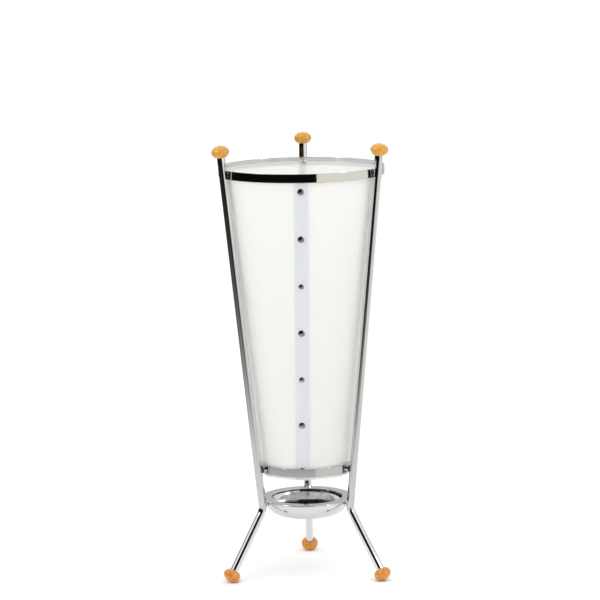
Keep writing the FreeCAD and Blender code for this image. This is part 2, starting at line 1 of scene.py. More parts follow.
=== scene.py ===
"""Umbrella stand: the finished pieces and finishes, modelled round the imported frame.

Lengths are metres unless a name ends in _mm, and fields that hold an angle are in degrees. +Z is
up, the rear leg is at +Y and the seam of the sheet faces -Y. A leg is built at azimuth 0, where
the radius runs along +X, and then turned to its place.
"""
import json
import logging
import math
from dataclasses import dataclass, field, replace
from enum import Enum
from itertools import pairwise
from typing import Iterable, Sequence

import bmesh
import bpy
from bpy.types import Material, Node, NodeSocket, NodeTree, Object
from mathutils import Matrix, Quaternion, Vector

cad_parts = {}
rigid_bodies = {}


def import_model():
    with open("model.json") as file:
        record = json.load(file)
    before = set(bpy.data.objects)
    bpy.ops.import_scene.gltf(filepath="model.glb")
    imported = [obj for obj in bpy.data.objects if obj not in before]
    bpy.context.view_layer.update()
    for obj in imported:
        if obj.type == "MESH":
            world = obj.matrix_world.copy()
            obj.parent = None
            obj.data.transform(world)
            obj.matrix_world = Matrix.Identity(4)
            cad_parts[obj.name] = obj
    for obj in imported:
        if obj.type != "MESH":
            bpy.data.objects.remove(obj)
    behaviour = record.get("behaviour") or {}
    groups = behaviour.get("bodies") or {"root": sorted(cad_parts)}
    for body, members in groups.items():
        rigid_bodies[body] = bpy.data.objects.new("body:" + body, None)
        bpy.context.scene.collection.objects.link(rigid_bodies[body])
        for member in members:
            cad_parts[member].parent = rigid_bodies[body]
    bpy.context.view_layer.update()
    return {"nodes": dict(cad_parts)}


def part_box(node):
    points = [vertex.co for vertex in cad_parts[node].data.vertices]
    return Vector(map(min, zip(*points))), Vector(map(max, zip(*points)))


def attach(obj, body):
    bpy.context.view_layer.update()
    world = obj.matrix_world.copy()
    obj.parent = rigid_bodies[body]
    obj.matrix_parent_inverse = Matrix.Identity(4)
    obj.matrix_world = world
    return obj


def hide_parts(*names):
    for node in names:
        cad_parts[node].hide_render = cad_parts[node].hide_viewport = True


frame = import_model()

LOG = logging.getLogger("umbrella_stand")
MM = 0.001
UP = Vector((0.0, 0.0, 1.0))
STAND = "stand"
DISH = "dish"
# Faces that meet at more than this get a rounded edge.
CORNER_ANGLE = math.radians(60.0)
# Distance within which a vertex counts as lying on a cut. The operator's own 0.1 mm is too coarse.
CUT_TOLERANCE = 1e-7
# Doubled vertices closer than this become one.
MERGE_DISTANCE = 0.002 * MM


class Side(Enum):
    """The three legs and their azimuths about the stand's axis, in degrees."""

    REAR = 90.0
    LEFT = 210.0
    RIGHT = 330.0

    @property
    def word(self) -> str:
        """The side's name as the frame's nodes spell it."""
        return self.name.lower()


# ---------------------------------------------------------------- modelling helpers

def deselect_all() -> None:
    """Leave nothing selected, so that an operator acts only on the piece in hand."""
    for item in bpy.context.scene.objects:
        item.select_set(False)


def pick(piece: Object) -> None:
    """Make one piece the only selected one, and the active one.

    Args:
        piece: The object.
    """
    deselect_all()
    piece.select_set(True)
    bpy.context.view_layer.objects.active = piece


def newest(name: str) -> Object:
    """Name the object that an operator has just added.

    Args:
        name: Name for the object and its mesh.

    Returns:
        The object.
    """
    piece = bpy.context.view_layer.objects.active
    piece.name = name
    piece.data.name = name
    return piece


def apply_place(piece: Object) -> None:
    """Put a piece's place, turn and size into its mesh, so that its object sits at the origin."""
    pick(piece)
    bpy.ops.object.transform_apply(location=True, rotation=True, scale=True)


def apply_modifier(piece: Object, kind: str, **settings: object) -> None:
    """Add a modifier with its settings and apply it.

    Args:
        piece: The object to change.
        kind: The modifier's type.
        **settings: Its properties.
    """
    pick(piece)
    modifier = piece.modifiers.new(kind.title(), kind)
    for name, value in settings.items():
        setattr(modifier, name, value)
    bpy.ops.object.modifier_apply(modifier=modifier.name)


def soften_edges(piece: Object, width: float, segments: int) -> None:
    """Round a piece's corners with a narrow bevel.

    Args:
        piece: The object to change.
        width: Width of the bevel.
        segments: Number of faces across it.
    """
    apply_modifier(piece, "BEVEL", width=width, segments=segments, limit_method="ANGLE",
                   angle_limit=CORNER_ANGLE)


def smooth(piece: Object, sharp_degrees: float = 35.0) -> None:
    """Shade a piece smooth, except across edges sharper than an angle."""
    pick(piece)
    bpy.ops.object.shade_smooth_by_angle(angle=math.radians(sharp_degrees))


def start_edge(name: str, first: Vector) -> Object:
    """Add a one-vertex mesh and leave it in edit mode with the vertex selected.

    Args:
        name: Name of the new object.
        first: Place of the vertex.

    Returns:
        The object, in edit mode.
    """
    deselect_all()
    bpy.ops.mesh.primitive_plane_add(size=MM, location=first)
    piece = newest(name)
    apply_place(piece)
    bpy.ops.object.mode_set(mode="EDIT")
    bpy.ops.mesh.select_all(action="SELECT")
    bpy.ops.mesh.merge(type="CENTER")
    return piece


def extrude_by(step: Vector) -> None:
    """Extrude what is selected and move the new part by a step."""
    bpy.ops.mesh.extrude_region_move(TRANSFORM_OT_translate={"value": step})


def spin_clockwise(angle: float, steps: int) -> None:
    """Spin what is selected clockwise about the stand's axis, seen from above.

    Args:
        angle: Angle in degrees. With no window, spin takes clockwise as positive.
        steps: Number of segments.
    """
    bpy.ops.mesh.spin(steps=steps, angle=math.radians(angle), center=(0, 0, 0), axis=(0, 0, 1),
                      use_auto_merge=False)


def tidy_shell() -> None:
    """In edit mode, merge doubled vertices and turn all faces outwards."""
    bpy.ops.mesh.select_all(action="SELECT")
    bpy.ops.mesh.remove_doubles(threshold=MERGE_DISTANCE)
    bpy.ops.mesh.normals_make_consistent(inside=False)
    bpy.ops.object.mode_set(mode="OBJECT")


def lathe(name: str, outline: Sequence[tuple[float, float]], steps: int) -> Object:
    """Turn an outline round the Z axis into a closed piece.

    Args:
        name: Name of the new object.
        outline: Points as (radius, height), from one end of the outline to the other.
        steps: Number of segments round the axis.

    Returns:
        The piece, in object mode.
    """
    points = [Vector((radius, 0.0, height)) for radius, height in outline]
    piece = start_edge(name, points[0])
    for here, there in pairwise(points):
        bpy.ops.mesh.extrude_vertices_move(TRANSFORM_OT_translate={"value": there - here})
    bpy.ops.mesh.select_all(action="SELECT")
    bpy.ops.mesh.spin(steps=steps, angle=math.tau, center=(0, 0, 0), axis=(0, 0, 1))
    tidy_shell()
    return piece


def arc_points(centre: tuple[float, float], radius: float, start: float, end: float,
               steps: int) -> list[tuple[float, float]]:
    """Points of an arc in an outline.

    Args:
        centre: The arc's centre as (radius, height).
        radius: The arc's own radius.
        start: First angle in degrees, measured from the outward radius towards +Z.
        end: Last angle in degrees.
        steps: Number of segments along it.

    Returns:
        The points from start to end, both included.
    """
    angles = [math.radians(start + (end - start) * k / steps) for k in range(steps + 1)]
    return [(centre[0] + radius * math.cos(a), centre[1] + radius * math.sin(a)) for a in angles]


def place(piece: Object, where: Vector, direction: Vector) -> None:
    """Stand a piece made along +Z at the origin on a point, pointing in a direction.

    Args:
        piece: The object to place.
        where: The point that its origin goes to.
        direction: The direction that its +Z goes to.
    """
    turn = UP.rotation_difference(direction).to_matrix().to_4x4()
    piece.matrix_world = Matrix.Translation(where) @ turn
    apply_place(piece)


def turn_to(piece: Object, azimuth: float) -> None:
    """Turn a piece made at azimuth 0 about the stand's axis, in degrees."""
    piece.matrix_world = Matrix.Rotation(math.radians(azimuth), 4, "Z")
    apply_place(piece)


def turned(point: Vector, azimuth: float) -> Vector:
    """A point or direction turned about the stand's axis, in degrees."""
    return Matrix.Rotation(math.radians(azimuth), 3, "Z") @ point


def dress(piece: Object, finish: Material) -> None:
    """Give a piece one material.

    Args:
        piece: A new piece or a node of the frame.
        finish: The material.
    """
    if piece.material_slots:
        for held in piece.material_slots:
            held.material = finish
    else:
        piece.data.materials.append(finish)


def keep_node(name: str, finish: Material) -> None:
    """Show a node of the frame as it is, with a finish of its own."""
    dress(frame["nodes"][name], finish)
    LOG.info("kept %s", name)


def settle(piece: Object, body: str, finish: Material,
           stands_for: Iterable[str] = ()) -> None:
    """Finish a new piece: its material, the body it rides on and the nodes it stands for.

    Args:
        piece: The new piece.
        body: The body that it moves with.
        finish: Its material.
        stands_for: Nodes of the frame that it is shown in place of.
    """
    dress(piece, finish)
    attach(piece, body)
    if stands_for:
        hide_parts(*stands_for)
    LOG.info("made %s, %d faces", piece.name, len(piece.data.polygons))


# ---------------------------------------------------------------- finishes

def linear(colour: str) -> tuple[float, float, float, float]:
    """An sRGB hex colour as linear red, green, blue and alpha."""
    parts = [int(colour[k:k + 2], 16) / 255 for k in (1, 3, 5)]
    return (*[c / 12.92 if c <= 0.04045 else ((c + 0.055) / 1.055) ** 2.4 for c in parts], 1.0)


def add_node(tree: NodeTree, kind: str, inputs: dict | None = None, **settings: object) -> Node:
    """Add a shader node with its settings and links.

    Args:
        tree: The node tree.
        kind: The node's type, without the ShaderNode in front.
        inputs: Input names or numbers with a value, or with the output socket that feeds them.
        **settings: The node's own properties.

    Returns:
        The node.
    """
    made = tree.nodes.new("ShaderNode" + kind)
    for name, value in settings.items():
        setattr(made, name, value)
    for name, value in (inputs or {}).items():
        if isinstance(value, NodeSocket):
            tree.links.new(value, made.inputs[name])
        else:
            made.inputs[name].default_value = value
    return made


def new_material(name: str) -> tuple[Material, NodeTree]:
    """Make an empty node material.

    Args:
        name: Name of the material.

    Returns:
        The material and its node tree.
    """
    material = bpy.data.materials.new(name)
    material.use_nodes = True
    material.node_tree.nodes.clear()
    return material, material.node_tree


def per_metre(size_mm: float) -> float:
    """Texture scale at which one repeat of a pattern is so many millimetres long."""
    return 1.0 / (size_mm * MM)


@dataclass(frozen=True)
class ChromePlate:
    """Nickel-chrome plate on polished steel: a dark mirror with a faint ripple and haze."""

    name: str
    colour: str = "#DEDEDC"
    roughness: float = 0.045
    haze: float = 0.05
    ripple_mm: float = 22.0
    ripple_depth_mm: float = 0.012
    haze_mm: float = 5.0
    haze_from: float = 0.45
    haze_full: float = 0.8
    fine_mm: float = 0.9
    fine_depth_mm: float = 0.0008

    def material(self) -> Material:
        """Build the material.

        Returns:
            A metal whose polish wanders a little over the surface.
        """
        material, tree = new_material(self.name)
        place_on = add_node(tree, "TexCoord").outputs["Object"]
        # Slow ripple: what buffing leaves under the plate, so reflections waver along a piece.
        ripple = add_node(tree, "TexNoise", {
            "Vector": place_on, "Scale": per_metre(self.ripple_mm), "Detail": 1.0})
        # Fine ripple: the last grit of the polish, drawn coarser than it is so that it shows.
        fine = add_node(tree, "TexNoise", {
            "Vector": place_on, "Scale": per_metre(self.fine_mm), "Detail": 2.0})
        slow_bump = add_node(tree, "Bump", {
            "Height": ripple.outputs["Fac"], "Strength": 1.0,
            "Distance": self.ripple_depth_mm * MM})
        bump = add_node(tree, "Bump", {
            "Height": fine.outputs["Fac"], "Strength": 1.0, "Distance": self.fine_depth_mm * MM,
            "Normal": slow_bump.outputs["Normal"]})
        # Haze: fingerprints and wiping marks, as patches of slightly duller polish.
        smear = add_node(tree, "TexNoise", {
            "Vector": place_on, "Scale": per_metre(self.haze_mm), "Detail": 4.0, "Roughness": 0.6})
        polish = add_node(tree, "MapRange", {
            "Value": smear.outputs["Fac"], "From Min": self.haze_from, "From Max": self.haze_full,
            "To Min": self.roughness, "To Max": self.roughness + self.haze})
        shader = add_node(tree, "BsdfPrincipled", {
            "Base Color": linear(self.colour), "Metallic": 1.0,
            "Roughness": polish.outputs["Result"], "Normal": bump.outputs["Normal"]})
        add_node(tree, "OutputMaterial", {"Surface": shader.outputs["BSDF"]})
        return material


@dataclass(frozen=True)
class LacqueredBeech:
    """Turned beech under honey lacquer: straight soft grain, short dark flecks, a wet gloss."""

    name: str
    centre: Vector
    grain: Vector
    pale: str = "#E0A838"
    honey: str = "#CE8B1E"
    deep: str = "#A35E1A"
    fleck: str = "#7E4414"
    ring_mm: float = 3.2
    fibre_mm: float = 0.55
    fleck_mm: float = 1.3
    patch_mm: float = 9.0
    ring_wander: float = 3.5
    grain_stretch: float = 0.14
    fleck_stretch: float = 0.3
    fleck_core: float = 0.12
    fleck_edge: float = 0.2
    fleck_share: float = 0.55
    fibre_share: float = 0.7
    patch_share: float = 0.35
    fibre_depth_mm: float = 0.012
    roughness: float = 0.32
    lacquer: float = 0.9
    lacquer_roughness: float = 0.06

    def material(self) -> Material:
        """Build the material, with its grain lying along the piece's own axis.

        Returns:
            A honey-coloured wood under a clear coat.
        """
        material, tree = new_material(self.name)
        turn = self.grain.rotation_difference(UP).to_matrix()
        shift = -(turn @ self.centre)
        place_on = add_node(tree, "TexCoord").outputs["Object"]
        on_piece = add_node(tree, "Mapping", {
            "Vector": place_on, "Location": shift, "Rotation": turn.to_euler()}).outputs["Vector"]
        # Growth rings and fibres run long along the grain, so their space is squeezed that way.
        along = add_node(tree, "Mapping", {
            "Vector": on_piece, "Scale": (1.0, 1.0, self.grain_stretch)})
        rings = add_node(tree, "TexWave", {
            "Vector": along.outputs["Vector"], "Distortion": self.ring_wander,
            "Scale": per_metre(self.ring_mm) / math.tau, "Detail": 2.0, "Detail Scale": 0.6},
            wave_type="BANDS", bands_direction="X")
        fibres = add_node(tree, "TexNoise", {
            "Vector": along.outputs["Vector"], "Detail": 3.0, "Scale": per_metre(self.fibre_mm)})
        # Patches: where the lacquer soaked in deeper, a few to each knob.
        patches = add_node(tree, "TexNoise", {
            "Vector": on_piece, "Detail": 1.0, "Scale": per_metre(self.patch_mm)})
        # Flecks: the short dark rays that mark beech, as the middles of stretched cells.
        short = add_node(tree, "Mapping", {
            "Vector": on_piece, "Scale": (1.0, 1.0, self.fleck_stretch)})
        cells = add_node(tree, "TexVoronoi", {
            "Vector": short.outputs["Vector"], "Scale": per_metre(self.fleck_mm)})
        growth = add_node(tree, "MapRange", {
            "Value": rings.outputs["Fac"], "To Min": 0.25, "To Max": 0.7})
        streaks = add_node(tree, "MapRange", {
            "Value": fibres.outputs["Fac"], "From Min": 0.5, "From Max": 0.8,
            "To Max": self.fibre_share})
        shade = add_node(tree, "MapRange", {
            "Value": patches.outputs["Fac"], "From Min": 0.4, "From Max": 0.75,
            "To Max": self.patch_share})
        flecks = add_node(tree, "MapRange", {
            "Value": cells.outputs["Distance"], "From Min": self.fleck_core,
            "From Max": self.fleck_edge, "To Min": self.fleck_share, "To Max": 0.0})
        # Each layer is laid over the one before, from the broad rings to the short flecks.
        tone = linear(self.honey)
        for share, colour in ((growth, self.pale), (streaks, self.deep), (shade, self.deep),
                              (flecks, self.fleck)):
            tone = add_node(tree, "Mix", {
                "Factor": share.outputs["Result"], "A": tone, "B": linear(colour)},
                data_type="RGBA").outputs["Result"]
        bump = add_node(tree, "Bump", {
            "Height": fibres.outputs["Fac"], "Strength": 1.0,
            "Distance": self.fibre_depth_mm * MM})
        shader = add_node(tree, "BsdfPrincipled", {
            "Base Color": tone, "Roughness": self.roughness, "IOR": 1.5, "Specular IOR Level": 0.3,
            "Coat Weight": self.lacquer, "Coat Roughness": self.lacquer_roughness,
            "Normal": bump.outputs["Normal"]})
        add_node(tree, "OutputMaterial", {"Surface": shader.outputs["BSDF"]})
        return material


@dataclass(frozen=True)
class FrostedPolypropylene:
    """Translucent polypropylene sheet with a sand-textured face: milky, with a painted shade,
    cooler and a little darker, where it lies double.
    """

    name: str
    seam_low: Vector
    seam_high: Vector
    lap_width: float
    colour: str = "#FBFBF9"
    # Painted shade of the lap, where less light comes through two layers.
    lap_painted_shade: str = "#F4F6F9"
    smoothest: float = 0.42
    roughest: float = 0.5
    clear_share: float = 0.5
    cloud_mm: float = 60.0
    grit_mm: float = 1.6
    grit_depth_mm: float = 0.015
    lap_edge_mm: float = 0.4

    def lap_shade_mask(self, tree: NodeTree, place_on: NodeSocket) -> NodeSocket:
        """Say where on the front the sheet lies double, either side of the seam's middle line:
        there the shade is painted.

        Args:
            tree: The material's nodes.
            place_on: The place on the piece.

        Returns:
            An output that is 1 in the lap and 0 elsewhere.
        """
        parts = add_node(tree, "SeparateXYZ", {"Vector": place_on})
        middle = add_node(tree, "MapRange", {
            "Value": parts.outputs["Z"], "From Min": self.seam_low.z, "From Max": self.seam_high.z,
            "To Min": self.seam_low.x, "To Max": self.seam_high.x})
        aside = add_node(tree, "Math", {
            0: parts.outputs["X"], 1: middle.outputs["Result"]}, operation="SUBTRACT")
        distance = add_node(tree, "Math", {0: aside.outputs["Value"]}, operation="ABSOLUTE")
        edge = self.lap_edge_mm * MM
        inside = add_node(tree, "MapRange", {
            "Value": distance.outputs["Value"], "From Min": self.lap_width / 2 - edge,
            "From Max": self.lap_width / 2, "To Min": 1.0, "To Max": 0.0})
        front = add_node(tree, "Math", {0: parts.outputs["Y"], 1: 0.0}, operation="LESS_THAN")
        lap = add_node(tree, "Math", {
            0: inside.outputs["Result"], 1: front.outputs["Value"]}, operation="MULTIPLY")
        return lap.outputs["Value"]

    def material(self) -> Material:
        """Build the material.

        Returns:
            A rough, light-passing plastic. The grit is drawn coarser than it is, so that it shows.
        """
        material, tree = new_material(self.name)
        place_on = add_node(tree, "TexCoord").outputs["Object"]
        cloud = add_node(tree, "TexNoise", {
            "Vector": place_on, "Scale": per_metre(self.cloud_mm), "Detail": 2.0})
        grit = add_node(tree, "TexNoise", {
            "Vector": place_on, "Scale": per_metre(self.grit_mm), "Detail": 2.0})
        frost = add_node(tree, "MapRange", {
            "Value": cloud.outputs["Fac"], "From Min": 0.3, "From Max": 0.7,
            "To Min": self.smoothest, "To Max": self.roughest})
        bump = add_node(tree, "Bump", {
            "Height": grit.outputs["Fac"], "Strength": 1.0, "Distance": self.grit_depth_mm * MM})
        # Painted shade: the lap is tinted cooler and darker, as less light comes through two
        # layers.
        tone = add_node(tree, "Mix", {
            "Factor": self.lap_shade_mask(tree, place_on), "A": linear(self.colour),
            "B": linear(self.lap_painted_shade)}, data_type="RGBA")
        # An IOR below the plastic's own 1.49: a wall this thin hardly bends or mirrors the light.
        shader = add_node(tree, "BsdfPrincipled", {
            "Base Color": tone.outputs["Result"], "IOR": 1.3, "Specular IOR Level": 0.25,
            "Roughness": frost.outputs["Result"], "Transmission Weight": self.clear_share,
            "Normal": bump.outputs["Normal"]})
        add_node(tree, "OutputMaterial", {"Surface": shader.outputs["BSDF"]})
        return material


@dataclass(frozen=True)
class ZincSteel:
    """Turned steel under bright zinc: a dull grey, mottled by the marks of the cutting tool."""

    name: str = "Zinc-plated turned steel"
    colour: str = "#77787A"
    mark_mm: float = 0.6
    smoothest: float = 0.25
    roughest: float = 0.45

    def material(self) -> Material:
        """Build the material.

        Returns:
            A grey metal whose gloss changes from mark to mark.
        """
        material, tree = new_material(self.name)
        place_on = add_node(tree, "TexCoord").outputs["Object"]
        marks = add_node(tree, "TexNoise", {
            "Vector": place_on, "Scale": per_metre(self.mark_mm), "Detail": 2.0})
        worn = add_node(tree, "MapRange", {
            "Value": marks.outputs["Fac"], "To Min": self.smoothest, "To Max": self.roughest})
        shader = add_node(tree, "BsdfPrincipled", {
            "Base Color": linear(self.colour), "Metallic": 1.0,
            "Roughness": worn.outputs["Result"]})
        add_node(tree, "OutputMaterial", {"Surface": shader.outputs["BSDF"]})
        return material


@dataclass(frozen=True)
class NaturalNylon:
    """Moulded nylon, undyed: off-white, waxy, faintly mottled by the mould."""

    name: str = "Natural moulded nylon"
    colour: str = "#E6E4DC"
    mottle_mm: float = 2.0
    smoothest: float = 0.35
    roughest: float = 0.55
    glow_share: float = 0.15
    glow_depth: float = 2.0 * MM

    def material(self) -> Material:
        """Build the material.

        Returns:
            A soft white plastic that lets a little light in under its skin.
        """
        material, tree = new_material(self.name)
        place_on = add_node(tree, "TexCoord").outputs["Object"]
        mottle = add_node(tree, "TexNoise", {
            "Vector": place_on, "Scale": per_metre(self.mottle_mm)})
        waxy = add_node(tree, "MapRange", {
            "Value": mottle.outputs["Fac"], "To Min": self.smoothest, "To Max": self.roughest})
        shader = add_node(tree, "BsdfPrincipled", {
            "Base Color": linear(self.colour), "Roughness": waxy.outputs["Result"],
            "Subsurface Weight": self.glow_share, "Subsurface Scale": self.glow_depth})
        add_node(tree, "OutputMaterial", {"Surface": shader.outputs["BSDF"]})
        return material


# ---------------------------------------------------------------- legs and knobs

@dataclass
class Legs:
    """Three steel tubes, each bent once above the foot, with a turned knob on either end."""

    tube_radius: float = 6.0 * MM
    tube_wall: float = 1.5 * MM
    # Outward run of the upper length per unit of height.
    lean: float = 0.10802
    bend_height: float = 104.5 * MM
    bend_radius: float = 22.0 * MM
    tube_past_centre: float = 1.75 * MM
    knob_radius: float = 13.0 * MM
    knob_half: float = 9.75 * MM
    knob_edge_round: float = 8.19 * MM
    knob_bore: float = 6.05 * MM
    knob_mouth_round: float = 0.6 * MM
    knob_rise: float = 28.3 * MM
    foot_flat: float = 0.35 * MM
    tube_sides: int = 48
    bend_steps: int = 24
    knob_sides: int = 96
    # Painted shade: deeper copies of the knobs' wood colours, for the less-lit feet.
    foot_pale_shaded: str = "#DB9426"
    foot_honey_shaded: str = "#CC7A14"
    top: Vector = field(init=False)
    foot: Vector = field(init=False)
    corner: Vector = field(init=False)

    def __post_init__(self) -> None:
        """Read the ends of a leg off the frame, at azimuth 0."""
        low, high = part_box("top_knob_rear")
        self.top = Vector(((low.y + high.y) / 2, 0.0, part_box("top_ring")[1].z + self.knob_rise))
        low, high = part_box("foot_knob_rear")
        self.foot = Vector(((low.y + high.y) / 2, 0.0, (high.z - self.foot_flat) / 2))
        reach = self.top.x - self.lean * (self.top.z - self.bend_height)
        self.corner = Vector((reach, 0.0, self.bend_height))

    @property
    def up(self) -> Vector:
        """Direction up the upper run."""
        return Vector((self.lean, 0.0, 1.0)).normalized()

    @property
    def down(self) -> Vector:
        """Direction down the lower run."""
        return (self.foot - self.corner).normalized()

    def tube(self, side: Side) -> Object:
        """Model one tube: a ring is drawn down to the bend, spun round it and drawn to the foot.

        Args:
            side: Which leg.

        Returns:
            The tube, in its place.
        """
        up, down = self.up, self.down
        turn = math.pi - up.angle(down)
        tangent = self.bend_radius * math.tan(turn / 2)
        centre = self.corner + (up + down).normalized() * (self.bend_radius / math.cos(turn / 2))
        top_end = self.top + up * self.tube_past_centre
        bend_start = self.corner + up * tangent
        bend_end = self.corner + down * tangent
        foot_end = self.foot + down * self.tube_past_centre
        deselect_all()
        bpy.ops.mesh.primitive_circle_add(vertices=self.tube_sides, radius=self.tube_radius,
                                          location=top_end,
                                          rotation=(0.0, math.atan(self.lean), 0.0))
        piece = newest("chrome_leg_" + side.word)
        bpy.ops.object.mode_set(mode="EDIT")
        bpy.ops.mesh.select_all(action="SELECT")
        extrude_by(bend_start - top_end)
        bpy.ops.mesh.spin(steps=self.bend_steps, angle=turn, center=centre, axis=(0.0, 1.0, 0.0))
        extrude_by(foot_end - bend_end)
        tidy_shell()
        apply_place(piece)
        apply_modifier(piece, "SOLIDIFY", thickness=self.tube_wall, offset=-1.0)
        turn_to(piece, side.value)
        smooth(piece)
        return piece

    def knob_outline(self) -> list[tuple[float, float]]:
        """Half section of a knob about its axis.

        Returns:
            Points as (radius, height), from the outer pole round to the bottom of the bore.
        """
        edge_centre = self.knob_radius - self.knob_edge_round
        spread = self.knob_half ** 2 + edge_centre ** 2 - self.knob_edge_round ** 2
        crown = spread / (2 * (self.knob_half - self.knob_edge_round))
        drop = crown - self.knob_half
        joint = math.degrees(math.atan2(drop, edge_centre))
        mouth = math.degrees(math.acos((self.knob_bore + self.knob_mouth_round) / crown))
        lip = drop - math.sqrt(crown ** 2 - self.knob_bore ** 2) + self.knob_mouth_round
        far_crown = arc_points((0.0, -drop), crown, 90.0, joint, steps=10)
        edge = arc_points((edge_centre, 0.0), self.knob_edge_round, joint, -joint, steps=28)
        near_crown = arc_points((0.0, drop), crown, -joint, -mouth, steps=6)
        bore = [(self.knob_bore, lip), (self.knob_bore, self.tube_past_centre),
                (0.0, self.tube_past_centre)]
        return far_crown + edge[1:] + near_crown[1:] + bore

    def knob_seat(self, side: Side, at_foot: bool) -> tuple[Vector, Vector]:
        """Centre of a knob, and the direction out of the tube's end there.

        Args:
            side: Which leg.
            at_foot: Whether it is the lower end.

        Returns:
            The centre and the direction.
        """
        where, axis = (self.foot, self.down) if at_foot else (self.top, self.up)
        return turned(where, side.value), turned(axis, side.value)

    def knob(self, side: Side, at_foot: bool) -> Object:
        """Model one knob on its tube end; a foot knob is cut flat where it stands.

        Args:
            side: Which leg.
            at_foot: Whether it is the lower end.

        Returns:
            The knob, in its place.
        """
        name = ("beech_foot_" if at_foot else "beech_knob_") + side.word
        piece = lathe(name, self.knob_outline(), self.knob_sides)
        place(piece, *self.knob_seat(side, at_foot))
        if at_foot:
            bpy.ops.object.mode_set(mode="EDIT")
            bpy.ops.mesh.select_all(action="SELECT")
            bpy.ops.mesh.bisect(plane_co=(0, 0, 0), plane_no=(0, 0, 1), use_fill=True,
                                clear_inner=True, threshold=CUT_TOLERANCE)
            bpy.ops.object.mode_set(mode="OBJECT")
        smooth(piece, sharp_degrees=40.0)
        return piece

    def build(self, chrome: Material, zinc: Material) -> None:
        """Make the legs and knobs, and dress the plugs and bolts inside them.

        Args:
            chrome: Finish of the tubes.
            zinc: Finish of the hidden steel.
        """
        for side in Side:
            settle(self.tube(side), STAND, chrome, [side.word + "_leg"])
            for at_foot in (False, True):
                part = "foot" if at_foot else "knob"
                wood = LacqueredBeech(f"Lacquered beech {part} {side.word}",
                                      *self.knob_seat(side, at_foot))
                # Painted shade: the foot knobs, lit less than the upper ones, get the same wood in
                # deeper colours.
                if at_foot:
                    wood = replace(wood, pale=self.foot_pale_shaded, honey=self.foot_honey_shaded)
                node = ("foot_knob_" if at_foot else "top_knob_") + side.word
                settle(self.knob(side, at_foot), STAND, wood.material(),
                       [node])
        for name in ("upper_end_plugs", "lower_end_plugs", "upper_knob_bolts", "lower_knob_bolts"):
            keep_node(name, zinc)


# ---------------------------------------------------------------- bands

@dataclass
class Bands:
    """The two rolled steel bands, and the screws, inserts, spacers and bushes at each leg."""

    thickness: float = 2.0 * MM
    edge_round: float = 0.4 * MM
    sides: int = 256

    def band(self, name: str, node: str) -> Object:
        """Model one band from a plain hoop: give it its thickness, then soften its edges.

        Args:
            name: Name of the new object.
            node: The node that gives its height and radius.

        Returns:
            The band.
        """
        low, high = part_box(node)
        deselect_all()
        bpy.ops.mesh.primitive_cylinder_add(vertices=self.sides, radius=high.x,
                                            depth=high.z - low.z, end_fill_type="NOTHING",
                                            location=(0, 0, (low.z + high.z) / 2))
        piece = newest(name)
        apply_place(piece)
        apply_modifier(piece, "SOLIDIFY", thickness=self.thickness, offset=-1.0)
        soften_edges(piece, self.edge_round, segments=3)
        smooth(piece)
        # The wide faces set the shading, so that what the band mirrors is even across it.
        apply_modifier(piece, "WEIGHTED_NORMAL", keep_sharp=True)
        return piece

    def build(self, chrome: Material, bright: Material, zinc: Material, nylon: Material) -> None:
        """Make the bands and dress what fastens them.

        Args:
            chrome: Finish of the bands.
            bright: Finish of the screws and spacers.
            zinc: Finish of the thread inserts.
            nylon: Finish of the bushes.
        """
        for name, node in (("upper_band", "top_ring"), ("lower_band", "bottom_ring")):
            settle(self.band(name, node), STAND, chrome, [node])
        for name in ("top_ring_screws", "bottom_ring_screws", "bottom_ring_spacers"):
            keep_node(name, bright)
        for name in ("top_thread_inserts", "bottom_thread_inserts"):
            keep_node(name, zinc)
        for name in ("top_sheet_bushes", "bottom_sheet_bushes"):
            keep_node(name, nylon)


# ---------------------------------------------------------------- sheet

